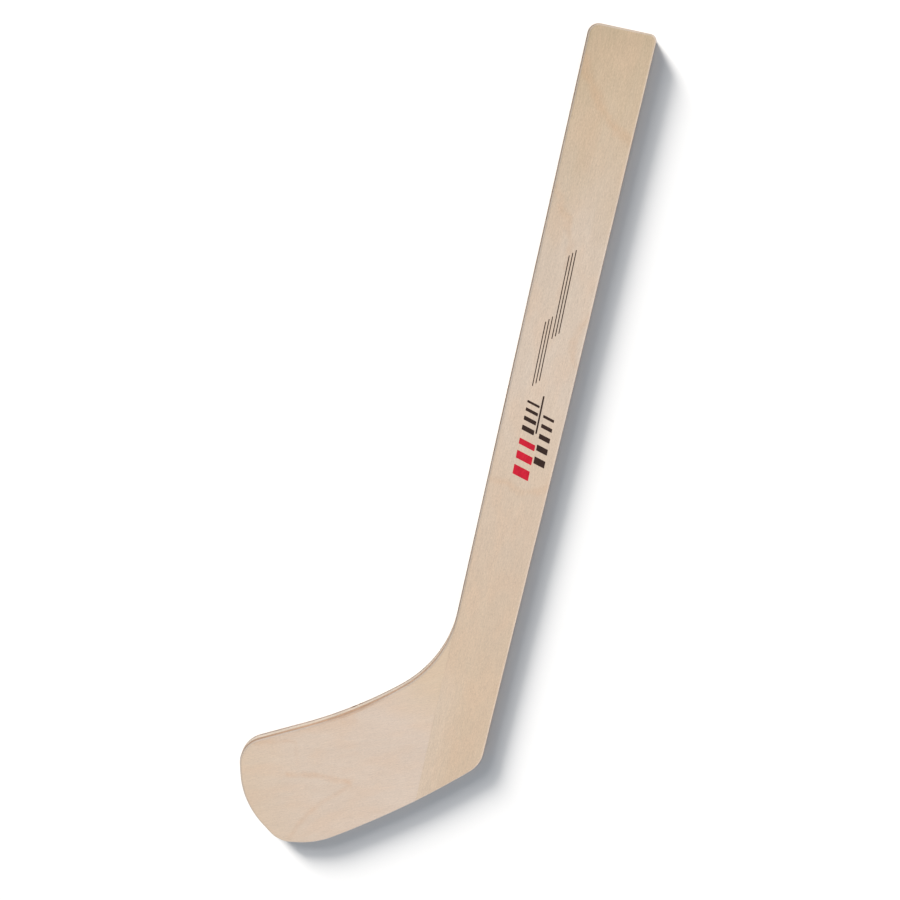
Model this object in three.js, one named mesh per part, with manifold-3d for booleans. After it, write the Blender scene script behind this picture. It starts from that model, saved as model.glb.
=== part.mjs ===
// Mini wooden hockey stick: a straight shaft and a flat blade, both 5-ply plywood, glued edge to edge.
// Millimetres. The stick lies on its back: +Z is out of its face, +Y runs up the shaft to the butt end,
// and the blade points to -X. The origin is under the middle of the whole outline.

import * as THREE from 'three';
import { mergeVertices } from 'three/addons/utils/BufferGeometryUtils.js';
import Module from 'manifold-3d';

const wasm = await Module();
wasm.setup();

// ---- Board ----

const THICKNESS = 6.4;
const EDGE_EASING = 1.2; // radius sanded round every arris
const EASING_STEPS = 4;
const ARC_STEPS = 6;
const GLUE_LINE = 0.05;

// ---- Outline ----

const SHAFT_WIDTH = 28;
const SHAFT_SIDE = SHAFT_WIDTH / 2;

// The outline is a ring of corners, each rounded to its own radius. x is measured from the shaft's centre
// line and y from the butt end. Large radii are the long curves of the blade.
const CORNERS = [
  { name: 'butt, blade side', x: -SHAFT_SIDE, y: 0, radius: 4.5 },
  { name: 'throat', x: -SHAFT_SIDE, y: -294.6, radius: 59 },
  { name: 'blade top', x: -52.9, y: -330.5, radius: 214 },
  { name: 'toe top', x: -103.4, y: -358.6, radius: 14.5 },
  { name: 'toe', x: -96.8, y: -389.9, radius: 45 },
  { name: 'toe bottom', x: -75.6, y: -407.5, radius: 13 },
  { name: 'front of the sole', x: -57.8, y: -404.7, radius: 40 },
  { name: 'sole', x: -18.9, y: -376.4, radius: 440 },
  { name: 'heel', x: 12.9, y: -343.7, radius: 16 },
  { name: 'start of the taper to the heel', x: SHAFT_SIDE, y: -170, radius: 8000 },
  { name: 'butt, heel side', x: SHAFT_SIDE, y: 0, radius: 3 },
];

// ---- Plies, from the back to the face ----

const FACE_PLY = 0.6;
const CROSS_PLY = 1.5;
const CORE_PLY = THICKNESS - 2 * (FACE_PLY + CROSS_PLY);
const PLIES = [
  { name: 'back_veneer', thickness: FACE_PLY, color: 0xdcc8ae, roughness: 0.55 },
  { name: 'rear_crossband', thickness: CROSS_PLY, color: 0xb9936c, roughness: 0.75 },
  { name: 'core', thickness: CORE_PLY, color: 0xd9c3a4, roughness: 0.7 },
  { name: 'front_crossband', thickness: CROSS_PLY, color: 0xb9936c, roughness: 0.75 },
  { name: 'face_veneer', thickness: FACE_PLY, color: 0xdfcab2, roughness: 0.55 },
];

// ---- Joint of shaft and blade ----

const SEAM_X = -SHAFT_SIDE; // the seam carries the shaft's edge line down to the sole
const SEAM_TOP = -264; // just above where the throat leaves the shaft
const TONGUE_TOP = -300; // the blade's core fills the shaft's core layer from here to the sole
const FAR = 1000; // reaches past the stick on every side

// A corner's arc: its centre, where it starts and ends, and its angles.
function roundedCorner(before, corner, after) {
  const tip = new THREE.Vector2(corner.x, corner.y);
  const back = new THREE.Vector2(before.x, before.y).sub(tip).normalize();
  const ahead = new THREE.Vector2(after.x, after.y).sub(tip).normalize();
  const halfAngle = Math.acos(back.dot(ahead)) / 2;
  const middle = back.clone().add(ahead).normalize();
  const centre = tip.clone().addScaledVector(middle, corner.radius / Math.sin(halfAngle));
  const reach = corner.radius / Math.tan(halfAngle);
  const start = tip.clone().addScaledVector(back, reach).sub(centre);
  const end = tip.clone().addScaledVector(ahead, reach).sub(centre);
  const clockwise = start.cross(end) < 0;
  return { centre, radius: corner.radius, from: start.angle(), to: end.angle(), clockwise };
}

function outlineShape() {
  const shape = new THREE.Shape();
  CORNERS.forEach((corner, i) => {
    const before = CORNERS.at(i - 1);
    const after = CORNERS[(i + 1) % CORNERS.length];
    const arc = roundedCorner(before, corner, after);
    shape.absarc(arc.centre.x, arc.centre.y, arc.radius, arc.from, arc.to, arc.clockwise);
  });
  shape.closePath();
  return shape;
}

function toSolid(geometry) {
  const bare = geometry.clone();
  bare.deleteAttribute('normal');
  bare.deleteAttribute('uv');
  const merged = mergeVertices(bare);
  const vertProperties = new Float32Array(merged.attributes.position.array);
  const triVerts = new Uint32Array(merged.index.array);
  return new wasm.Manifold(new wasm.Mesh({ numProp: 3, vertProperties, triVerts }));
}

function toGeometry(solid) {
  const mesh = solid.getMesh();
  const geometry = new THREE.BufferGeometry();
  geometry.setAttribute('position', new THREE.BufferAttribute(mesh.vertProperties, 3));
  geometry.setIndex(new THREE.BufferAttribute(mesh.triVerts, 1));
  return geometry;
}

// A block between two corners, used to keep or remove part of the board.
function block(low, high) {
  const size = new THREE.Vector3().subVectors(high, low);
  const centre = new THREE.Vector3().addVectors(low, high).multiplyScalar(0.5);
  const box = new THREE.BoxGeometry(size.x, size.y, size.z);
  box.translate(centre.x, centre.y, centre.z);
  return toSolid(box);
}

function blockXY(x0, x1, y0, y1) {
  return block(new THREE.Vector3(x0, y0, -FAR), new THREE.Vector3(x1, y1, FAR));
}

function blockZ(z0, z1) {
  return block(new THREE.Vector3(-FAR, -FAR, z0), new THREE.Vector3(FAR, FAR, z1));
}

// The whole stick as one board with eased edges, lying on z = 0.
function boardSolid() {
  const board = new THREE.ExtrudeGeometry(outlineShape(), {
    depth: THICKNESS - 2 * EDGE_EASING,
    curveSegments: ARC_STEPS,
    bevelEnabled: true,
    bevelThickness: EDGE_EASING,
    bevelSize: EDGE_EASING,
    bevelOffset: -EDGE_EASING,
    bevelSegments: EASING_STEPS,
  });
  board.translate(0, 0, EDGE_EASING);
  return toSolid(board);
}

const halfGlue = GLUE_LINE / 2;
const beyondSeam = blockXY(-FAR, SEAM_X + halfGlue, -FAR, SEAM_TOP);
const shaftSide = blockXY(SEAM_X - halfGlue, FAR, -FAR, FAR);
const shaftAboveTongue = blockXY(SEAM_X - halfGlue, FAR, TONGUE_TOP - halfGlue, FAR);
const tongueSlot = blockXY(-FAR, FAR, -FAR, TONGUE_TOP + halfGlue);

function shaftPart(layer, isCore) {
  const strip = layer.subtract(beyondSeam);
  return isCore ? strip.subtract(tongueSlot) : strip;
}

function bladePart(layer, isCore) {
  return layer.subtract(isCore ? shaftAboveTongue : shaftSide).subtract(blockXY(-FAR, FAR, SEAM_TOP, FAR));
}

function plyMesh(name, solid, ply) {
  const material = new THREE.MeshStandardMaterial({
    color: ply.color,
    roughness: ply.roughness,
    metalness: 0,
  });
  const mesh = new THREE.Mesh(toGeometry(solid), material);
  mesh.name = name;
  return mesh;
}

const stick = new THREE.Group();
const board = boardSolid();
let bottom = 0;
for (const ply of PLIES) {
  const top = bottom + ply.thickness;
  const low = bottom === 0 ? 0 : bottom + halfGlue;
  const high = ply.name === 'face_veneer' ? THICKNESS : top - halfGlue;
  const layer = board.intersect(blockZ(low, high));
  const isCore = ply.name === 'core';
  stick.add(plyMesh(`shaft_${ply.name}`, shaftPart(layer, isCore), ply));
  stick.add(plyMesh(`blade_${ply.name}`, bladePart(layer, isCore), ply));
  bottom = top;
}

// Put the middle of the outline's box over the origin.
const outlineBox = new THREE.Box2().setFromPoints(outlineShape().getPoints(ARC_STEPS));
const outlineMiddle = outlineBox.getCenter(new THREE.Vector2());
stick.position.set(-outlineMiddle.x, -outlineMiddle.y, 0);

export default stick;
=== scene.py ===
"""Mini wooden hockey stick lying on a pale floor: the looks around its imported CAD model.

Everything is in the CAD model's frame. The values below are in millimetres, in the stick's own drawing: x is
measured from the shaft's centre line, y from the butt end (negative towards the blade) and z from the floor.
"""

from math import acos, atan2, ceil, cos, exp, hypot, pi, radians, sin, sqrt, tan

import bpy
from mathutils import Matrix, Vector, geometry, noise


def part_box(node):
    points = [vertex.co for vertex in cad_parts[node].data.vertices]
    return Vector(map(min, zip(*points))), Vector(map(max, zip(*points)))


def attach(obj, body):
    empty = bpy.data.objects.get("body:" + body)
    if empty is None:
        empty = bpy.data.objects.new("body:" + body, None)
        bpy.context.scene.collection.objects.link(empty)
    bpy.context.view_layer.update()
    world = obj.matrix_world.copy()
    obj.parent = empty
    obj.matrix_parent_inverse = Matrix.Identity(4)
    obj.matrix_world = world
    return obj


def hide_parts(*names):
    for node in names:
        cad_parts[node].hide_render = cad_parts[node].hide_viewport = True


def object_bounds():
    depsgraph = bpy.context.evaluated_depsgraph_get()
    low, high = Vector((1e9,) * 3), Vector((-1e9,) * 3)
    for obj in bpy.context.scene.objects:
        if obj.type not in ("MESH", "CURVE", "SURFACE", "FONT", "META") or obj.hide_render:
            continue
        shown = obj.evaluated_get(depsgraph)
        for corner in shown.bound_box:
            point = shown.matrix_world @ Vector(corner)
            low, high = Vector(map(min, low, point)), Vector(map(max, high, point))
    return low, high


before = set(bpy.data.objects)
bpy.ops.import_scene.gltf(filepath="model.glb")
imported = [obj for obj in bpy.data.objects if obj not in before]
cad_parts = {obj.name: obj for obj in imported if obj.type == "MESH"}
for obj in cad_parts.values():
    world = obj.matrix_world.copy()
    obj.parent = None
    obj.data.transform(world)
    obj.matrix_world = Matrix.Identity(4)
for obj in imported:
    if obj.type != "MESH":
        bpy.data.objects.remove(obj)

cad_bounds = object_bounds()

MM = 0.001
BODY = "root"

# ---- The stick ----

SHAFT_SIDE = 14.0
EASING = 1.2  # radius sanded round every arris
EASING_WANDER = 0.16  # how far hand sanding lets that radius wander
DEEPEST_EASING = 2.0
EASING_WAVE = 23.0  # the wandering's wavelength
EASING_STEPS = 14
STATION_STEP = 2.0
STATION_TURN = radians(4)
LEAST_STEP = 0.12  # stations closer than this are merged
END_CLEARANCE = 0.3  # no station lies closer than this to a piece's end
LEVEL_CLEARANCE = 0.004  # no level lies closer than this to a ply's top or bottom
SHARP_ANGLE = radians(38)
HALVINGS = 40
FLAT_BORDER = 0.4  # narrow strip inside the easing that keeps the flat face's shading flat
FACE_GRID = 5.0
GLUE_GAP = 0.02

# The outline: a ring of corners, each rounded to its own radius (x, y, radius). It is the CAD part's own.
CORNERS = (
    (-SHAFT_SIDE, 0, 4.5),  # butt, blade side
    (-SHAFT_SIDE, -294.6, 59),  # throat
    (-52.9, -330.5, 214),  # blade top
    (-103.4, -358.6, 14.5),  # toe top
    (-96.8, -389.9, 45),  # toe
    (-75.6, -407.5, 13),  # toe bottom
    (-57.8, -404.7, 40),  # front of the sole
    (-18.9, -376.4, 440),  # sole
    (12.9, -343.7, 16),  # heel
    (SHAFT_SIDE, -170, 8000),  # start of the taper to the heel
    (SHAFT_SIDE, 0, 3),  # butt, heel side
)
THROAT = 1
TOE_BOTTOM = 5
HEEL = 8
BUTT_HEEL_SIDE = 10

SEAM_X = -SHAFT_SIDE
TONGUE_TOP = -300.0
WARP_REACH = 30.0  # how far from a crossing the stations slide to meet it

PLIES = ("back_veneer", "rear_crossband", "core", "front_crossband", "face_veneer")

# Where the sanding went through the face veneer on the blade's top edge, and two small voids in the rear
# crossband: the first is dug out and given painted shade, the second is only a spot of painted shade.
SANDED_THROUGH = (-51.9, -330.5)
SANDED_LENGTH = 13.0
SANDED_EXTRA = 0.75
VOID_AT = (-52.3, -328.6)
SECOND_VOID_AT = (-49.0, -326.4)
VOID_LENGTH = 0.9
VOID_DEPTH = 0.9
VOID_ROWS = 6

# ---- The printed stripes on the shaft's face: plain bars that stand in for the print ----

INK_LIFT = 0.004
INK_THICKNESS = 0.012
INK_CORNER = 0.22
INK_TURN = radians(18)
PRINT_TURN = radians(1.2)
PRINT_CENTRE = (0.0, -170.0)
BAR_SLANT = 0.32  # how far a bar leans, as a share of its height

# Rows of bars: from x to x across the shaft, where the row starts, the bars' widths, the gap between them.
RED_ROWS = ((-4.3, 3.2, -197.5, (4.6, 3.7, 2.8), 3.0),)
DARK_ROWS = (
    (-4.3, 1.5, -176.0, (2.3, 1.9, 1.5, 1.1), 2.35),
    (3.9, 9.1, -190.3, (3.3, 2.8, 2.3, 1.8, 1.3), 2.85),
)
RULE = (2.0, 2.75, -175.0, -157.4)  # one long thin bar between the dark rows

# Groups of pinstripes: x of the first stripe, where it starts and ends along the shaft.
PINSTRIPE_GROUPS = ((-3.7, -153.8, -124.5), (0.4, -131.5, -94.5))
PINSTRIPE_COUNT = 3
PINSTRIPE_PITCH = 1.25
PINSTRIPE_WIDTH = 0.42
PINSTRIPE_STAGGER = 1.4

# ---- Camera ----

LENS = 55.0
CAMERA_AIM = (-33.3, -190.44)
CAMERA_DISTANCE = 613.7
CAMERA_HEADING = radians(3.888)
CAMERA_TILT = radians(-17.765)
CAMERA_ROLL = radians(8.0)


def stick_origin():
    """The butt end's middle, on the floor, in metres."""
    low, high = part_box("shaft_core")
    return Vector(((low.x + high.x) / 2, high.y, cad_bounds[0].z))


ORIGIN = stick_origin()
THICKNESS = (cad_bounds[1].z - cad_bounds[0].z) / MM


def to_frame(x, y, z):
    return ORIGIN + Vector((x, y, z)) * MM


# ---- Outline ----


class Outline:
    """A closed ring of arcs and straights. A station is a distance along it."""

    def __init__(self, corners):
        self.spans = []
        self.starts = []
        self.arc_start = []
        arcs = [
            self.rounded(corners[i - 1], corners[i], corners[(i + 1) % len(corners)])
            for i in range(len(corners))
        ]
        station = 0.0
        for i, arc in enumerate(arcs):
            self.arc_start.append(station)
            station = self.push(station, ("arc", arc), arc["radius"] * abs(arc["sweep"]))
            follower = arcs[(i + 1) % len(arcs)]
            begin = self.on_arc(arc, arc["sweep"])[0]
            end = self.on_arc(follower, 0)[0]
            station = self.push(station, ("straight", begin, end), (end - begin).length)
        self.length = station

    def push(self, station, span, length):
        self.starts.append(station)
        self.spans.append((span, length))
        return station + length

    @staticmethod
    def rounded(before, corner, after):
        tip = Vector(corner[:2])
        back = (Vector(before[:2]) - tip).normalized()
        ahead = (Vector(after[:2]) - tip).normalized()
        half = acos(max(-1, min(1, back.dot(ahead)))) / 2
        centre = tip + (back + ahead).normalized() * corner[2] / sin(half)
        reach = corner[2] / tan(half)
        start = tip + back * reach - centre
        end = tip + ahead * reach - centre
        sweep = atan2(start.x * end.y - start.y * end.x, start.dot(end))
        return {"centre": centre, "radius": corner[2], "start": atan2(start.y, start.x), "sweep": sweep}

    @staticmethod
    def on_arc(arc, turned):
        angle = arc["start"] + turned
        outward = Vector((cos(angle), sin(angle)))
        inward = -outward if arc["sweep"] > 0 else outward
        return arc["centre"] + outward * arc["radius"], inward

    def at(self, station):
        """The point at a station and the direction into the material there."""
        station %= self.length
        i = max(k for k, start in enumerate(self.starts) if start <= station)
        span, length = self.spans[i]
        share = (station - self.starts[i]) / length if length else 0
        if span[0] == "arc":
            return self.on_arc(span[1], span[1]["sweep"] * share)
        along = span[2] - span[1]
        unit = along.normalized()
        return span[1] + along * share, Vector((-unit.y, unit.x))

    def stations(self, step, turn):
        """Stations no further apart than step, and no further round an arc than turn."""
        marks = []
        for (span, length), start in zip(self.spans, self.starts):
            if length < 1e-6:
                continue
            count = ceil(length / step)
            if span[0] == "arc":
                count = max(count, ceil(abs(span[1]["sweep"]) / turn))
            marks += [start + length * k / count for k in range(count)]
        return marks

    def nearest(self, x, y):
        """The station nearest to a point, to within half a millimetre."""
        marks = self.stations(0.5, radians(2))
        return min(marks, key=lambda s: (self.at(s)[0] - Vector((x, y))).length)


outline = Outline(CORNERS)
SANDED_STATION = outline.nearest(*SANDED_THROUGH)
VOID_STATION = outline.nearest(*VOID_AT)
VOID_POINT = outline.at(VOID_STATION)[0]
SECOND_VOID_POINT = outline.at(outline.nearest(*SECOND_VOID_AT))[0]


def bell(distance, width):
    """1 at no distance, falling smoothly to nothing over a few widths."""
    return exp(-((distance / width) ** 2))


def easing_radius(station, point, front):
    wander = noise.noise(Vector((point.x / EASING_WAVE, point.y / EASING_WAVE, 7.3 if front else 1.9)))
    radius = EASING * (1 + EASING_WANDER * wander)
    if front:
        radius += SANDED_EXTRA * bell(station - SANDED_STATION, SANDED_LENGTH)
    return min(radius, DEEPEST_EASING)


def inset_at(station, point, z):
    """How far the sanded edge lies inside the outline at height z."""
    front = z > THICKNESS / 2
    depth = THICKNESS - z if front else z
    radius = easing_radius(station, point, front)
    if depth >= radius:
        return 0.0
    return radius - sqrt(max(0.0, radius**2 - (radius - depth) ** 2))


def edge_point(station, z, extra=0.0):
    """The point on the sanded edge at height z, or a distance extra further in."""
    station %= outline.length
    point, inward = outline.at(station)
    return point + inward * (inset_at(station, point, z) + extra)


def bisect(low, high, test):
    """The station between low and high where test turns true, found by halving."""
    for _ in range(HALVINGS):
        middle = (low + high) / 2
        if test(middle):
            high = middle
        else:
            low = middle
    return high


# ---- Where the pieces' ends lie on the outline ----

SEAM_TOP_MARK = outline.arc_start[THROAT]
SEAM_FOOT_MARK = bisect(
    outline.arc_start[TOE_BOTTOM], outline.arc_start[HEEL], lambda s: outline.at(s)[0].x > SEAM_X
)
TONGUE_MARK = bisect(
    outline.arc_start[HEEL], outline.arc_start[BUTT_HEEL_SIDE], lambda s: outline.at(s)[0].y > TONGUE_TOP
)


def seam_top(z, extra, x):
    low = SEAM_TOP_MARK
    if edge_point(low, z, extra).x <= x + 1e-6:
        return low
    return bisect(low, low + WARP_REACH, lambda s: edge_point(s, z, extra).x <= x)


def seam_foot(z, extra, x):
    low = SEAM_FOOT_MARK - WARP_REACH / 2
    return bisect(low, low + WARP_REACH, lambda s: edge_point(s, z, extra).x >= x)


def tongue_end(z, extra, y):
    low = TONGUE_MARK - WARP_REACH / 2
    return bisect(low, low + WARP_REACH, lambda s: edge_point(s, z, extra).y >= y)


def stations_between(first, last):
    """The outline's stations from one mark round to another, both included."""
    if last < first:
        last += outline.length
    marks = outline.stations(STATION_STEP, STATION_TURN)
    marks += [VOID_STATION + VOID_LENGTH * k / 3 for k in range(-6, 7)]  # finer at the void
    everything = sorted(m + turn * outline.length for m in marks for turn in (0, 1))
    inner = [m for m in everything if first + END_CLEARANCE < m < last - END_CLEARANCE]
    kept = [inner[0]]
    for mark in inner[1:]:
        if mark - kept[-1] > LEAST_STEP:
            kept.append(mark)
    return [first] + kept + [last]


def slid(mark, crossings):
    """A station moved so that it meets the true crossings at this level."""
    for nominal, actual in crossings:
        gap = min(abs(mark - nominal), abs(mark - nominal - outline.length))
        mark += (actual - nominal) * max(0.0, 1 - gap / WARP_REACH)
    return mark


def shaft_loop(z, extra, is_core):
    top = (SEAM_TOP_MARK, seam_top(z, extra, SEAM_X))
    if is_core:
        foot = (TONGUE_MARK, tongue_end(z, extra, TONGUE_TOP + GLUE_GAP))
    else:
        foot = (SEAM_FOOT_MARK, seam_foot(z, extra, SEAM_X))
    marks = stations_between(foot[0], top[0])
    points = [edge_point(slid(m, (top, foot)), z, extra) for m in marks]
    if is_core:
        points.append(Vector((SEAM_X, TONGUE_TOP + GLUE_GAP)))
    return points


def blade_loop(z, extra, is_core):
    top = (SEAM_TOP_MARK, seam_top(z, extra, SEAM_X - GLUE_GAP))
    if is_core:
        foot = (TONGUE_MARK, tongue_end(z, extra, TONGUE_TOP))
    else:
        foot = (SEAM_FOOT_MARK, seam_foot(z, extra, SEAM_X - GLUE_GAP))
    marks = stations_between(top[0], foot[0])
    points = [edge_point(slid(m, (top, foot)), z, extra) for m in marks]
    if is_core:
        points.append(Vector((SEAM_X - GLUE_GAP, TONGUE_TOP)))
    return points


# ---- Plies ----


def ply_levels(low, high):
    """The heights of a ply's rows, closest together where the easing turns fastest."""
    steps = [DEEPEST_EASING * (1 - cos(pi / 2 * k / EASING_STEPS)) for k in range(EASING_STEPS + 1)]
    heights = steps + [THICKNESS - s for s in steps]
    inner = [z for z in sorted(heights) if low + LEVEL_CLEARANCE < z < high - LEVEL_CLEARANCE]
    return [low] + inner + [high]


def dig_void(points, z, low, high):
    """Pushes the edge in where the rear crossband has a small void."""
    middle = (low + high) / 2
    upright = bell(z - middle, (high - low) / 3)
    where = edge_point(VOID_STATION, z)
    inward = outline.at(VOID_STATION)[1]
    return [p + inward * VOID_DEPTH * upright * bell((p - where).length, VOID_LENGTH) for p in points]


def fill_flat(points):
    """Even triangles over a flat outline: extra points inside it and triangles as index triples."""
    xs = [p.x for p in points]
    ys = [p.y for p in points]
    grid = []
    y = min(ys) + FACE_GRID / 2
    while y < max(ys):
        x = min(xs) + FACE_GRID / 2
        while x < max(xs):
            if inside(points, x, y):
                grid.append(Vector((x, y)))
            x += FACE_GRID
        y += FACE_GRID
    ring = list(range(len(points)))
    edges = [(i, (i + 1) % len(points)) for i in ring]
    result = geometry.delaunay_2d_cdt(points + grid, edges, [ring], 1, 1e-6)
    return result[0], result[2], result[3]


def inside(points, x, y):
    """True where (x, y) is in the outline and clear of its edge."""
    within = False
    for a, b in zip(points, points[1:] + points[:1]):
        if (a.y > y) != (b.y > y) and x < a.x + (y - a.y) * (b.x - a.x) / (b.y - a.y):
            within = not within
        if hypot(a.x - x, a.y - y) < FACE_GRID / 2:
            return False
    return within


def shade(mesh):
    mesh.polygons.foreach_set("use_smooth", [True] * len(mesh.polygons))
    mesh.set_sharp_from_angle(angle=SHARP_ANGLE)


def ply_mesh(name, make_loop, low, high, is_core, has_void):
    """A ply as one closed mesh: its sanded edge in rows, and a flat sheet below and above."""
    bottom_shows = low < 1e-6
    top_shows = high > THICKNESS - 1e-6
    rows = []
    levels = ply_levels(low, high)
    if has_void:
        levels = sorted(set(levels) | {low + (high - low) * k / VOID_ROWS for k in range(1, VOID_ROWS)})
    if bottom_shows:
        rows.append((low, make_loop(low, FLAT_BORDER, is_core)))
    for z in levels:
        loop = make_loop(z, 0.0, is_core)
        if has_void and low < z < high:
            loop = dig_void(loop, z, low, high)
        rows.append((z, loop))
    if top_shows:
        rows.append((high, make_loop(high, FLAT_BORDER, is_core)))
    count = len(rows[0][1])
    verts = [to_frame(p.x, p.y, z) for z, loop in rows for p in loop]
    faces = []
    for r in range(len(rows) - 1):
        for i in range(count):
            j = (i + 1) % count
            faces.append((r * count + i, r * count + j, (r + 1) * count + j, (r + 1) * count + i))
    add_sheet(verts, faces, rows[0], 0, bottom_shows, True)
    add_sheet(verts, faces, rows[-1], (len(rows) - 1) * count, top_shows, False)
    mesh = bpy.data.meshes.new(name)
    mesh.from_pydata([tuple(v) for v in verts], [], faces)
    mesh.validate()
    shade(mesh)
    return mesh


def add_sheet(verts, faces, row, first, shows, faces_down):
    """Closes a ply over its end row: with even triangles where it shows, with one face where it is hidden."""
    z, loop = row
    if not shows:
        ring = [first + i for i in range(len(loop))]
        faces.append(tuple(reversed(ring)) if faces_down else tuple(ring))
        return
    points, triangles, sources = fill_flat(loop)
    index = {}
    for k, source in enumerate(sources):
        original = [s for s in source if s < len(loop)]
        if original:
            index[k] = first + original[0]
        else:
            index[k] = len(verts)
            verts.append(to_frame(points[k].x, points[k].y, z))
    for triangle in triangles:
        corners = [index[k] for k in triangle]
        a, b, c = (points[k] for k in triangle)
        upward = (b - a).cross(c - a) > 0
        if upward == faces_down:
            corners.reverse()
        faces.append(tuple(corners))


def add_piece(name, mesh, material, replaced=None):
    piece = bpy.data.objects.new(name, mesh)
    bpy.context.scene.collection.objects.link(piece)
    mesh.materials.append(material)
    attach(piece, BODY)
    if replaced:
        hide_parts(replaced)
    return piece


# ---- Node helpers ----


def paint(red, green, blue):
    """A colour given as 8-bit display values, in linear light."""
    linear = []
    for level in (red / 255, green / 255, blue / 255):
        linear.append(((level + 0.055) / 1.055) ** 2.4 if level > 0.04045 else level / 12.92)
    return (*linear, 1.0)


class Maker:
    """Builds one material's nodes. Each method gives back an output socket."""

    def __init__(self, name):
        self.material = bpy.data.materials.new(name)
        self.material.use_nodes = True
        self.tree = self.material.node_tree
        self.shader = self.tree.nodes["Principled BSDF"]

    def add(self, kind, **settings):
        node = self.tree.nodes.new(kind)
        for key, value in settings.items():
            setattr(node, key, value)
        return node

    def feed(self, socket, value):
        if isinstance(value, bpy.types.NodeSocket):
            self.tree.links.new(value, socket)
        else:
            socket.default_value = value

    def math(self, operation, *values, clamp=False):
        node = self.add("ShaderNodeMath", operation=operation, use_clamp=clamp)
        for socket, value in zip(node.inputs, values):
            self.feed(socket, value)
        return node.outputs[0]

    def vector(self, operation, *values):
        node = self.add("ShaderNodeVectorMath", operation=operation)
        for socket, value in zip(node.inputs, values):
            self.feed(socket, value)
        return node

    def ramp(self, value, low, high, start=0.0, end=1.0, smooth=True):
        """value from low..high carried over to start..end, held at both ends."""
        node = self.add("ShaderNodeMapRange", interpolation_type="SMOOTHSTEP" if smooth else "LINEAR")
        for socket, number in zip(node.inputs, (value, low, high, start, end)):
            self.feed(socket, number)
        return node.outputs[0]

    def noise(self, place, grains, detail=2.0, roughness=0.5, distortion=0.0, shift=0.0):
        """Noise whose grains measure grains = (x, y, z) millimetres, about 0.5 on average."""
        scaled = self.vector("DIVIDE", place, grains).outputs[0]
        moved = self.vector("ADD", scaled, (shift, shift * 1.7, shift * 0.6)).outputs[0]
        node = self.add("ShaderNodeTexNoise")
        for key, value in (
            ("Vector", moved),
            ("Scale", 1.0),
            ("Detail", detail),
            ("Roughness", roughness),
            ("Distortion", distortion),
        ):
            self.feed(node.inputs[key], value)
        return node.outputs[0]

    def mix(self, share, first, second):
        node = self.add("ShaderNodeMix", data_type="RGBA")
        self.feed(node.inputs[0], share)
        self.feed(node.inputs[6], first)
        self.feed(node.inputs[7], second)
        return node.outputs[2]

    def gradient(self, share, stops):
        node = self.add("ShaderNodeValToRGB")
        elements = node.color_ramp.elements
        while len(elements) < len(stops):
            elements.new(0.5)
        for element, (position, colour) in zip(elements, stops):
            element.position = position
            element.color = colour
        self.feed(node.inputs[0], share)
        return node.outputs[0]

    def place(self):
        """The stick's own drawing, in millimetres."""
        coordinates = self.add("ShaderNodeTexCoord").outputs["Object"]
        moved = self.vector("SUBTRACT", coordinates, tuple(ORIGIN)).outputs[0]
        node = self.vector("SCALE", moved)
        node.inputs["Scale"].default_value = 1 / MM
        return node.outputs[0]

    def turned(self, place, grain_angle):
        """Coordinates with y along the grain."""
        node = self.add("ShaderNodeVectorRotate", rotation_type="Z_AXIS")
        self.feed(node.inputs["Vector"], place)
        node.inputs["Angle"].default_value = pi / 2 - grain_angle
        return node.outputs[0]

    def axis(self, place, index):
        node = self.add("ShaderNodeSeparateXYZ")
        self.feed(node.inputs[0], place)
        return node.outputs[index]

    def brighten(self, colour, amount):
        """The colour times a number."""
        node = self.vector("SCALE", colour)
        self.feed(node.inputs["Scale"], amount)
        return node.outputs[0]

    def finish(self, colour, roughness, height=None, relief=0.0):
        self.feed(self.shader.inputs["Base Color"], colour)
        self.feed(self.shader.inputs["Roughness"], roughness)
        if height is not None:
            bump = self.add("ShaderNodeBump")
            bump.inputs["Strength"].default_value = 1.0
            bump.inputs["Distance"].default_value = relief * MM
            self.feed(bump.inputs["Height"], height)
            self.feed(self.shader.inputs["Normal"], bump.outputs[0])
        return self.material


# ---- Wood ----

SHAFT_GRAIN = radians(90)
BLADE_GRAIN = radians(205)

# Tones are given as the photo shows them. FACE_LIGHT allows for the light on the face.
FACE_LIGHT = 0.908
SANDED_TONE = paint(221, 210, 199)
FIGURE = paint(206, 160, 116)
SHAFT_TONES = (
    (0.0, paint(197, 175, 143)),
    (0.10, paint(205, 183, 153)),
    (0.24, paint(212, 194, 173)),
    (0.42, paint(215, 197, 177)),
    (0.53, paint(214, 193, 169)),
    (0.62, paint(211, 190, 166)),
    (0.80, paint(211, 188, 160)),
    (1.0, paint(210, 186, 158)),
)
BLADE_TONES = (
    (0.0, paint(218, 199, 180)),
    (0.5, paint(217, 198, 178)),
    (1.0, paint(216, 192, 161)),
)
SHAFT_LENGTH = 372.0  # the shaft's tones run from the butt end to here
BLADE_MIDDLE = (-55.0, -365.0)
BLADE_FROM = -40.0  # the blade's tones run along its grain from here to BLADE_TO, from its middle
BLADE_TO = 75.0

THROAT_BLUSH = (-14.0, -296.0)  # the blade is tanner near here
SEAM_PALE = paint(217, 199, 178)  # the shaft is paler beside the seam
SEAM_PALE_REACH = 15.0
SEAM_PALE_START = -285.0
SEAM_PALE_FULL = -315.0

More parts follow.
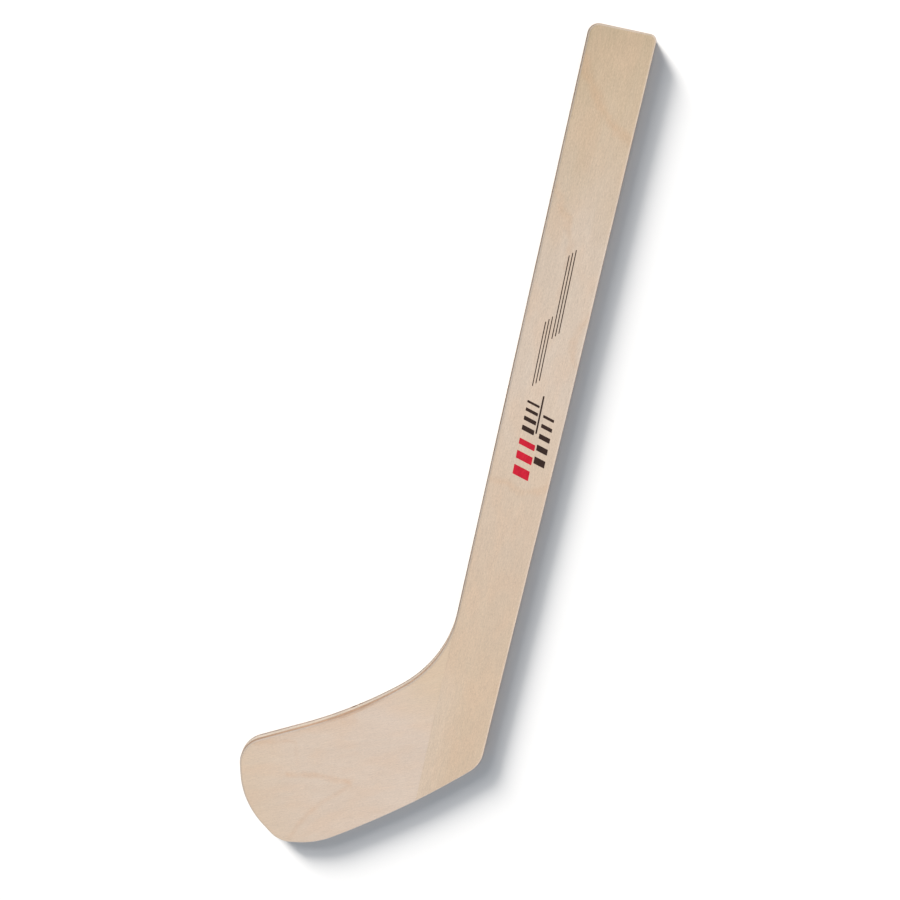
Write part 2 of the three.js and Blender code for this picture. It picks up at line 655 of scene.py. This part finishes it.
# The figure of the face veneers: growth-ring lines as points (x, y), with a width and a strength.
SHAFT_FIGURE = (
    (((-14, -14), (-9, -22), (-3, -31), (5, -38.5), (14, -44.5)), 3.4, 0.24),
    (((-14, -68), (-9.5, -73.5), (-5, -80), (-1.5, -90), (-1, -100)), 3.0, 0.22),
    (((15, -116), (10.5, -124), (9.6, -131), (11, -138), (15, -144)), 2.6, 0.20),
    (((-15, -199.5), (-6, -200), (2, -203.3), (9, -201.5), (15, -197.5)), 3.0, 0.22),
)
BLADE_FIGURE = (
    (((-95, -352), (-80, -346), (-64, -338.5), (-52, -332.5)), 4.5, 0.13),
    (((-98, -356), (-86, -352.5), (-76, -350.5)), 2.2, 0.22),
    (((-76, -350.5), (-74.5, -360), (-72, -368)), 2.4, 0.07),
    (((-77, -369), (-66, -366.6), (-58, -366.2), (-51, -366.6), (-47, -366)), 2.7, 0.32),
    (((-46, -367.5), (-51, -373), (-58, -380), (-64, -388), (-68, -396), (-71, -404)), 2.0, 0.20),
)

# The figure's lines sway and break up.
SWAY_GRAIN = (7, 7, 7)
SWAY = 5.0
BREAK_GRAIN = (5, 5, 5)

# Textures of a face veneer: the size of a grain across, along and through the sheet, in millimetres.
PATCH_GRAIN = (16, 46, 30)
WARM_GRAIN = (5, 26, 30)
ROSY_GRAIN = (9, 20, 30)
ROSY_TONE = paint(224, 190, 158)
RING_GRAIN = (26, 120, 60)
RING_COUNT = 9.0
RING_STRENGTH = 0.035
FIBRE_GRAIN = (0.42, 7.0, 0.42)
THREAD_GRAIN = (0.16, 2.2, 0.16)
SPECKLE_GRAIN = (0.42, 1.0, 0.42)
PORE_GRAIN = (0.13, 1.5, 0.13)
BLADE_FACE_TEXTURE = 0.68  # the blade's face is smoother than the rest
OTHER_TEXTURE = 0.93
VENEER_RELIEF = 0.012


def figure_lines(maker, place, lines):
    """How strongly the figure shows at a place: soft lines that fade and break up."""
    wobble = maker.noise(place, SWAY_GRAIN, detail=3.0, roughness=0.6, shift=3.1)
    sway = maker.math("MULTIPLY", maker.math("SUBTRACT", wobble, 0.5), SWAY)
    offset = maker.add("ShaderNodeCombineXYZ")
    maker.feed(offset.inputs[0], sway)
    maker.feed(offset.inputs[1], sway)
    swayed = maker.vector("ADD", place, offset.outputs[0]).outputs[0]
    flat = maker.vector("MULTIPLY", swayed, (1, 1, 0)).outputs[0]
    total = None
    for points, width, strength in lines:
        line = maker.ramp(distance_to_line(maker, flat, points), 0.0, width, strength, 0.0)
        total = line if total is None else maker.math("MAXIMUM", total, line)
    broken = maker.ramp(maker.noise(place, BREAK_GRAIN, detail=3.0, shift=8.4), 0.36, 0.62, 0.6, 1.0)
    return maker.math("MULTIPLY", total, broken)


def distance_to_line(maker, flat, points):
    nearest = None
    for start, end in zip(points, points[1:]):
        span = Vector((end[0] - start[0], end[1] - start[1], 0))
        relative = maker.vector("SUBTRACT", flat, (start[0], start[1], 0)).outputs[0]
        along = maker.vector("DOT_PRODUCT", relative, tuple(span / span.length_squared)).outputs["Value"]
        held = maker.math("ADD", along, 0.0, clamp=True)
        foot = maker.vector("SCALE", tuple(span))
        maker.feed(foot.inputs["Scale"], held)
        away = maker.vector("DISTANCE", relative, foot.outputs[0]).outputs["Value"]
        nearest = away if nearest is None else maker.math("MINIMUM", nearest, away)
    return nearest


def veneer_tone(maker, place, along_grain, tones, shift):
    """The sheet's broad colour: its tones in order, drifting in patches, and warmer and rosier in places."""
    stops, follows_grain, first, last = tones
    patches = maker.noise(along_grain, PATCH_GRAIN, detail=3.0, roughness=0.55, shift=shift)
    drift = maker.ramp(patches, 0.2, 0.8, -0.05, 0.05, smooth=False)
    position = maker.axis(along_grain if follows_grain else place, 1)
    share = maker.ramp(position, first, last, 0.0, 1.0, smooth=False)
    colour = maker.gradient(maker.math("ADD", share, drift), stops)
    warm = maker.noise(along_grain, WARM_GRAIN, detail=2.5, shift=shift + 5)
    colour = maker.mix(maker.ramp(warm, 0.3, 0.7, 0.0, 0.22), colour, maker.brighten(colour, 0.9))
    rosy = maker.noise(along_grain, ROSY_GRAIN, detail=2.5, shift=shift + 11)
    tint = maker.mix(0.5, colour, ROSY_TONE)
    colour = maker.mix(maker.ramp(rosy, 0.42, 0.68, 0.0, 0.42), colour, tint)
    return maker.brighten(colour, maker.ramp(patches, 0.28, 0.72, 0.982, 1.018))


def blushed(maker, place, colour):
    """The blade's colour, tanner towards the throat."""
    away = maker.vector("DISTANCE", place, (*THROAT_BLUSH, THICKNESS)).outputs["Value"]
    return maker.mix(maker.ramp(away, 42.0, 8.0, 0.0, 0.75), colour, BLADE_TONES[-1][1])


def paled(maker, place, colour):
    """The colour, paler beside the seam."""
    near_seam = maker.ramp(maker.axis(place, 0), SEAM_X + SEAM_PALE_REACH, SEAM_X, 0.0, 0.5)
    below_throat = maker.ramp(maker.axis(place, 1), SEAM_PALE_START, SEAM_PALE_FULL)
    return maker.mix(maker.math("MULTIPLY", near_seam, below_throat), colour, SEAM_PALE)


def growth_rings(maker, along_grain, colour, shift):
    """Faint rings of a rotary-cut sheet: contour lines of a slow, stretched noise."""
    slow = maker.noise(
        along_grain, RING_GRAIN, detail=1.5, roughness=0.45, distortion=0.4, shift=shift + 2
    )
    contour = maker.math("FRACT", maker.math("MULTIPLY", slow, RING_COUNT))
    ring = maker.math("ABSOLUTE", maker.math("SUBTRACT", contour, 0.5))
    line = maker.ramp(ring, 0.5, 0.25, 0.0, 1.0)
    return maker.mix(maker.math("MULTIPLY", line, RING_STRENGTH), colour, FIGURE)


def veneer(name, grain, tones, figure, shift, is_blade_face):
    """A face veneer: fine fibres and pores along the grain, soft bands, broad patches and the figure."""
    maker = Maker(name)
    place = maker.place()
    along_grain = maker.turned(place, grain)
    colour = veneer_tone(maker, place, along_grain, tones, shift)
    colour = blushed(maker, place, colour) if is_blade_face else paled(maker, place, colour)
    colour = growth_rings(maker, along_grain, colour, shift)
    if figure:
        colour = maker.mix(figure_lines(maker, place, figure), colour, FIGURE)

    fibres = maker.noise(along_grain, FIBRE_GRAIN, detail=3.0, roughness=0.62, shift=shift + 1)
    threads = maker.noise(along_grain, THREAD_GRAIN, detail=2.0, roughness=0.6, shift=shift + 7)
    speckle = maker.noise(along_grain, SPECKLE_GRAIN, detail=2.0, roughness=0.7, shift=shift + 13)
    pores = maker.ramp(maker.noise(along_grain, PORE_GRAIN, detail=1.0, shift=shift + 17), 0.66, 0.78)
    coarse = maker.ramp(fibres, 0.25, 0.75, -0.09, 0.09, smooth=False)
    fine = maker.ramp(threads, 0.25, 0.75, -0.11, 0.11, smooth=False)
    flecks = maker.ramp(speckle, 0.2, 0.8, -0.15, 0.15, smooth=False)
    total = maker.math("ADD", maker.math("ADD", coarse, fine), flecks)
    total = maker.math("SUBTRACT", total, maker.math("MULTIPLY", pores, 0.10))
    total = maker.math("MULTIPLY", total, BLADE_FACE_TEXTURE if is_blade_face else OTHER_TEXTURE)

    # The sanded easing is paler than the lacquered flat, and scorched near the sanded-through place.
    normal_up = maker.axis(maker.add("ShaderNodeNewGeometry").outputs["Normal"], 2)
    flatness = maker.math("ABSOLUTE", normal_up)
    sanded = maker.ramp(flatness, 0.985, 0.80)
    colour = maker.mix(maker.math("MULTIPLY", sanded, 0.5), colour, SANDED_TONE)
    if is_blade_face:
        away = maker.vector("DISTANCE", place, (*SANDED_THROUGH, THICKNESS)).outputs["Value"]
        scorched = maker.math("MULTIPLY", maker.ramp(away, 24.0, 6.0), maker.ramp(flatness, 0.998, 0.93))
        colour = maker.mix(maker.math("MULTIPLY", scorched, 0.4), colour, FIGURE)
    colour = maker.brighten(colour, maker.math("MULTIPLY", maker.math("ADD", total, 1.0), FACE_LIGHT))

    height = maker.math("SUBTRACT", maker.math("ADD", fibres, threads), pores)
    gloss = maker.ramp(maker.math("ADD", fibres, speckle), 0.7, 1.3, 0.44, 0.56, smooth=False)
    roughness = maker.math("ADD", gloss, maker.math("MULTIPLY", sanded, 0.10))
    return maker.finish(colour, roughness, height, VENEER_RELIEF)


# Textures of an inner ply's edge. Scorching and streaks lie in the stick's axes, the others in the grain's.
SCORCH_GRAIN = (14, 14, 3)
STREAK_GRAIN = (2.4, 2.4, 0.10)
EDGE_FIBRE_GRAIN = (0.3, 6.0, 0.14)
TUBE_GRAIN = (0.10, 1.2, 0.09)
EDGE_RELIEF = 0.03


def ply_edge(name, grain, side_tone, end_and_shade_tone, shift, darkenings_and_void_shade=()):
    """An inner ply, seen on its edge: smooth fibres along it, and darker, porous end grain across it."""
    maker = Maker(name)
    place = maker.place()
    along_grain = maker.turned(place, grain)
    normal = maker.add("ShaderNodeNewGeometry").outputs["Normal"]
    facing = maker.vector("DOT_PRODUCT", normal, (cos(grain), sin(grain), 0)).outputs["Value"]
    end_share = maker.ramp(maker.math("ABSOLUTE", facing), 0.25, 0.9)
    # On the shaft's cross plies the end tone is partly painted shade.
    colour = maker.mix(end_share, side_tone, end_and_shade_tone)
    # Darker spots on the edge: darker wood, and painted shade in the voids.
    for x, y, reach, share in darkenings_and_void_shade:
        flat = maker.vector("MULTIPLY", place, (1, 1, 0)).outputs[0]
        away = maker.vector("DISTANCE", flat, (x, y, 0)).outputs["Value"]
        colour = maker.mix(maker.ramp(away, reach, reach * 0.3, 0.0, share), colour, DARK_WOOD_AND_VOID_SHADE)

    scorch = maker.noise(place, SCORCH_GRAIN, detail=2.5, roughness=0.6, shift=shift)
    colour = maker.brighten(colour, maker.ramp(scorch, 0.3, 0.7, 0.90, 1.06))
    streaks = maker.noise(place, STREAK_GRAIN, detail=3.0, roughness=0.65, shift=shift + 4)
    fibres = maker.noise(along_grain, EDGE_FIBRE_GRAIN, detail=3.0, roughness=0.6, shift=shift + 6)
    tubes = maker.noise(along_grain, TUBE_GRAIN, detail=1.0, shift=shift + 9)
    holes = maker.math("MULTIPLY", maker.ramp(tubes, 0.60, 0.72), end_share)
    amount = maker.math("ADD", maker.ramp(streaks, 0.25, 0.75, -0.10, 0.10), 1.0)
    amount = maker.math("ADD", amount, maker.ramp(fibres, 0.25, 0.75, -0.08, 0.08))
    amount = maker.math("SUBTRACT", amount, maker.math("MULTIPLY", holes, 0.30))
    colour = maker.brighten(colour, amount)
    height = maker.math("SUBTRACT", maker.math("ADD", streaks, fibres), holes)
    return maker.finish(colour, maker.ramp(streaks, 0.3, 0.7, 0.62, 0.78), height, EDGE_RELIEF)


INK_FIBRE_GRAIN = (0.22, 3.2, 1.0)
INK_BLOTCH_GRAIN = (1.6, 2.6, 1.0)
INK_SPECULAR = 0.15
INK_RELIEF = 0.006


def ink(name, tone, worn_tone):
    """Thin pad-printed ink that follows the fibres and misses a few of them."""
    maker = Maker(name)
    place = maker.place()
    fibres = maker.noise(place, INK_FIBRE_GRAIN, detail=3.0, roughness=0.6, shift=21)
    blotches = maker.noise(place, INK_BLOTCH_GRAIN, detail=2.0, shift=27)
    worn = maker.math("MULTIPLY", maker.ramp(fibres, 0.54, 0.70), maker.ramp(blotches, 0.42, 0.66, 0.25, 1.0))
    colour = maker.mix(maker.math("MULTIPLY", worn, 0.4), tone, worn_tone)
    colour = maker.brighten(colour, maker.ramp(blotches, 0.3, 0.7, 0.9, 1.1))
    maker.shader.inputs["Specular IOR Level"].default_value = INK_SPECULAR
    return maker.finish(colour, maker.ramp(fibres, 0.3, 0.7, 0.42, 0.58), fibres, INK_RELIEF)


# ---- The pieces ----

RED_INK = paint(196, 14, 44)
RED_INK_WORN = paint(204, 80, 82)
DARK_INK = paint(46, 27, 19)
DARK_INK_WORN = paint(100, 72, 56)

CROSS_SIDE = paint(192, 164, 138)
# End-grain tones of the cross plies. The shaft's two are darker than end grain alone: painted shade on the
# shaft's side walls, where these tones show.
CROSS_GRAIN_END_AND_SHADE = {
    "shaft_front": paint(140, 102, 70),
    "shaft_rear": paint(145, 110, 80),
    "blade_front": paint(208, 170, 140),
    "blade_rear": paint(182, 162, 150),
}
CORE_TONE = paint(229, 212, 192)
CORE_END = paint(230, 208, 184)
# A darker wood tone, also used as painted shade in the rear crossband's voids.
DARK_WOOD_AND_VOID_SHADE = paint(120, 84, 60)
# Darker places on a ply's edge: x, y, reach and strength. The front band darkens towards the toe.
DARKENINGS_AND_VOID_SHADE = {
    "blade_front": ((-101.0, -358.0, 38.0, 0.2),),
    # Painted shade in the two voids of the rear crossband.
    "blade_rear": ((*VOID_POINT, 2.2, 0.9), (*SECOND_VOID_POINT, 1.6, 0.75)),
}


def materials_for(board):
    if board == "shaft":
        grain = SHAFT_GRAIN
        tones = (SHAFT_TONES, False, 0.0, -SHAFT_LENGTH)
        figure = SHAFT_FIGURE
        seed = 0.0
    else:
        grain = BLADE_GRAIN
        tones = (BLADE_TONES, True, blade_reach(BLADE_FROM), blade_reach(BLADE_TO))
        figure = BLADE_FIGURE
        seed = 40.0
    across = grain + pi / 2
    return {
        "face_veneer": veneer(f"{board}_face_wood", grain, tones, figure, seed, board == "blade"),
        "back_veneer": veneer(f"{board}_back_wood", grain, tones, None, seed + 83, False),
        "front_crossband": cross_ply(f"{board}_front", across, seed + 3),
        "rear_crossband": cross_ply(f"{board}_rear", across, seed + 19),
        "core": ply_edge(f"{board}_core_wood", grain, CORE_TONE, CORE_END, seed + 31),
    }


def cross_ply(layer, grain, shift):
    darkenings_and_void_shade = DARKENINGS_AND_VOID_SHADE.get(layer, ())
    return ply_edge(f"{layer}_cross_wood", grain, CROSS_SIDE, CROSS_GRAIN_END_AND_SHADE[layer], shift, darkenings_and_void_shade)


def blade_reach(distance):
    """The turned y coordinate at a distance from the middle of the blade, towards the toe."""
    along = Vector((cos(BLADE_GRAIN), sin(BLADE_GRAIN)))
    return Vector(BLADE_MIDDLE).dot(along) + distance


def build_boards():
    pieces = []
    for board, make_loop in (("shaft", shaft_loop), ("blade", blade_loop)):
        materials = materials_for(board)
        for ply in PLIES:
            node = f"{board}_{ply}"
            low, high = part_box(node)
            bottom = (low.z - cad_bounds[0].z) / MM
            top = (high.z - cad_bounds[0].z) / MM
            has_void = node == "blade_rear_crossband"
            mesh = ply_mesh(f"{node}_shape", make_loop, bottom, top, ply == "core", has_void)
            pieces.append(add_piece(f"{node}_shape", mesh, materials[ply], node))
    return pieces


# ---- Print ----


def printed_place(x, y):
    """A place on the print, which was laid on a little askew."""
    dx = x - PRINT_CENTRE[0]
    dy = y - PRINT_CENTRE[1]
    return (
        PRINT_CENTRE[0] + dx * cos(PRINT_TURN) - dy * sin(PRINT_TURN),
        PRINT_CENTRE[1] + dx * sin(PRINT_TURN) + dy * cos(PRINT_TURN),
    )


def bar_ring(x0, x1, y0, y1, slant):
    """A leaning bar with small round corners: x across the shaft, y along it."""
    lean = slant * (x1 - x0)
    corners = [(x0, y0 + lean), (x1, y0), (x1, y1), (x0, y1 + lean)]
    radius = min(INK_CORNER, (x1 - x0) / 2.4, (y1 - y0) / 2.4)
    shape = Outline([(*printed_place(x, y), radius) for x, y in corners])
    return [shape.at(s)[0] for s in shape.stations(STATION_STEP, INK_TURN)]


def ink_mesh(name, rings):
    verts = []
    faces = []
    bottom = THICKNESS + INK_LIFT
    for ring in rings:
        count = len(ring)
        first = len(verts)
        verts += [to_frame(p.x, p.y, bottom) for p in ring]
        verts += [to_frame(p.x, p.y, bottom + INK_THICKNESS) for p in ring]
        low = [first + i for i in range(count)]
        high = [first + count + i for i in range(count)]
        faces.append(tuple(reversed(low)))
        faces.append(tuple(high))
        for i in range(count):
            j = (i + 1) % count
            faces.append((low[i], low[j], high[j], high[i]))
    mesh = bpy.data.meshes.new(name)
    mesh.from_pydata([tuple(v) for v in verts], [], faces)
    mesh.validate()
    return mesh


def bar_row(x0, x1, start, widths, gap):
    """Bars of falling width, one after another up the shaft."""
    rings = []
    y = start
    for width in widths:
        rings.append(bar_ring(x0, x1, y, y + width, BAR_SLANT))
        y += width + gap
    return rings


def pinstripes(x0, start, end):
    rings = []
    for k in range(PINSTRIPE_COUNT):
        x = x0 + PINSTRIPE_PITCH * k
        shift = PINSTRIPE_STAGGER * k
        rings.append(bar_ring(x, x + PINSTRIPE_WIDTH, start + shift, end + shift, 0.0))
    return rings


def build_print():
    red = ink("red_ink_print", RED_INK, RED_INK_WORN)
    dark = ink("dark_ink_print", DARK_INK, DARK_INK_WORN)
    red_bars = [ring for row in RED_ROWS for ring in bar_row(*row)]
    dark_bars = [ring for row in DARK_ROWS for ring in bar_row(*row)]
    dark_bars.append(bar_ring(*RULE, 0.0))
    stripes = [ring for group in PINSTRIPE_GROUPS for ring in pinstripes(*group)]
    return [
        add_piece("print_red_bars", ink_mesh("print_red_bars", red_bars), red),
        add_piece("print_dark_bars", ink_mesh("print_dark_bars", dark_bars), dark),
        add_piece("print_pinstripes", ink_mesh("print_pinstripes", stripes), dark),
    ]


# ---- Stage ----

FLOOR_SIZE = 30.0
FLOOR_PAINT = (0.85, 0.85, 0.85, 1)
FLOOR_ROUGHNESS = 0.9
LAMP_DISTANCE = 3.0

# Distant lamps: heading round the object, height above the floor, width of the disc (degrees), strength.
# The photo's shadow falls from lower and further round than the light on the stick does, so the floor and the
# stick each have their own pair.
FLOOR_SUNS = (
    ("low_on_floor", 136, 15.2, 17, 7.8),
    ("high_on_floor", 136, 26, 26, 1.8),
)
STICK_SUNS = (
    ("key_on_stick", 72, 42, 40, 1.2),
    ("fill_on_stick", -35, 63, 60, 1.7),
)
FLOOR_SUN_TINT = (1.03, 0.99, 0.94)
STICK_SUN_TINT = (1.0, 0.955, 0.94)
WORLD_TINT = (0.93, 1.005, 1.10, 1)
WORLD_STRENGTH = 0.37
BACKDROP = (1, 1, 1, 1)


def build_floor():
    half = FLOOR_SIZE / 2
    mesh = bpy.data.meshes.new("floor")
    corners = [(-half, -half, 0), (half, -half, 0), (half, half, 0), (-half, half, 0)]
    mesh.from_pydata(corners, [], [(0, 1, 2, 3)])
    maker = Maker("floor_paint")
    mesh.materials.append(maker.finish(FLOOR_PAINT, FLOOR_ROUGHNESS))
    floor = bpy.data.objects.new("floor", mesh)
    bpy.context.scene.collection.objects.link(floor)
    return floor


def receivers(name, objects):
    """The only things that a lamp lights."""
    group = bpy.data.collections.new(name)
    for item in objects:
        group.objects.link(item)
    return group


def add_sun(name, heading_degrees, height_degrees, spread, strength, tint, lit):
    heading = radians(heading_degrees)
    height = radians(height_degrees)
    data = bpy.data.lights.new(name, "SUN")
    data.angle = radians(spread)
    data.energy = strength
    data.color = tint
    lamp = bpy.data.objects.new(name, data)
    towards = Vector((cos(heading) * cos(height), sin(heading) * cos(height), sin(height)))
    lamp.location = towards * LAMP_DISTANCE
    lamp.rotation_mode = "QUATERNION"
    lamp.rotation_quaternion = towards.to_track_quat("Z", "Y")
    bpy.context.scene.collection.objects.link(lamp)
    lamp.light_linking.receiver_collection = lit


def build_lights(pieces, floor):
    stick = receivers("lit_stick", pieces)
    ground = receivers("lit_floor", [floor])
    for sun in FLOOR_SUNS:
        add_sun(*sun, FLOOR_SUN_TINT, ground)
    for sun in STICK_SUNS:
        add_sun(*sun, STICK_SUN_TINT, stick)


def build_world():
    """Soft light from all round, and a white background for the camera."""
    world = bpy.data.worlds.new("studio")
    world.use_nodes = True
    tree = world.node_tree
    lighting = tree.nodes["Background"]
    lighting.inputs["Color"].default_value = WORLD_TINT
    lighting.inputs["Strength"].default_value = WORLD_STRENGTH
    backdrop = tree.nodes.new("ShaderNodeBackground")
    backdrop.inputs["Color"].default_value = BACKDROP
    backdrop.inputs["Strength"].default_value = 1.0
    ray = tree.nodes.new("ShaderNodeLightPath")
    choose = tree.nodes.new("ShaderNodeMixShader")
    tree.links.new(ray.outputs["Is Camera Ray"], choose.inputs[0])
    tree.links.new(lighting.outputs[0], choose.inputs[1])
    tree.links.new(backdrop.outputs[0], choose.inputs[2])
    tree.links.new(choose.outputs[0], tree.nodes["World Output"].inputs["Surface"])
    bpy.context.scene.world = world


def build_camera():
    data = bpy.data.cameras.new("camera")
    data.lens = LENS
    camera = bpy.data.objects.new("camera", data)
    turn = (
        Matrix.Rotation(CAMERA_HEADING, 4, "Z")
        @ Matrix.Rotation(CAMERA_TILT, 4, "X")
        @ Matrix.Rotation(CAMERA_ROLL, 4, "Z")
    )
    aim = to_frame(*CAMERA_AIM, THICKNESS)
    back = turn @ Vector((0, 0, 1))
    camera.matrix_world = Matrix.Translation(aim + back * CAMERA_DISTANCE * MM) @ turn
    bpy.context.scene.collection.objects.link(camera)
    bpy.context.scene.camera = camera


bpy.context.scene.view_settings.view_transform = "Standard"
build_camera()
pieces = build_boards() + build_print()
build_lights(pieces, build_floor())
build_world()
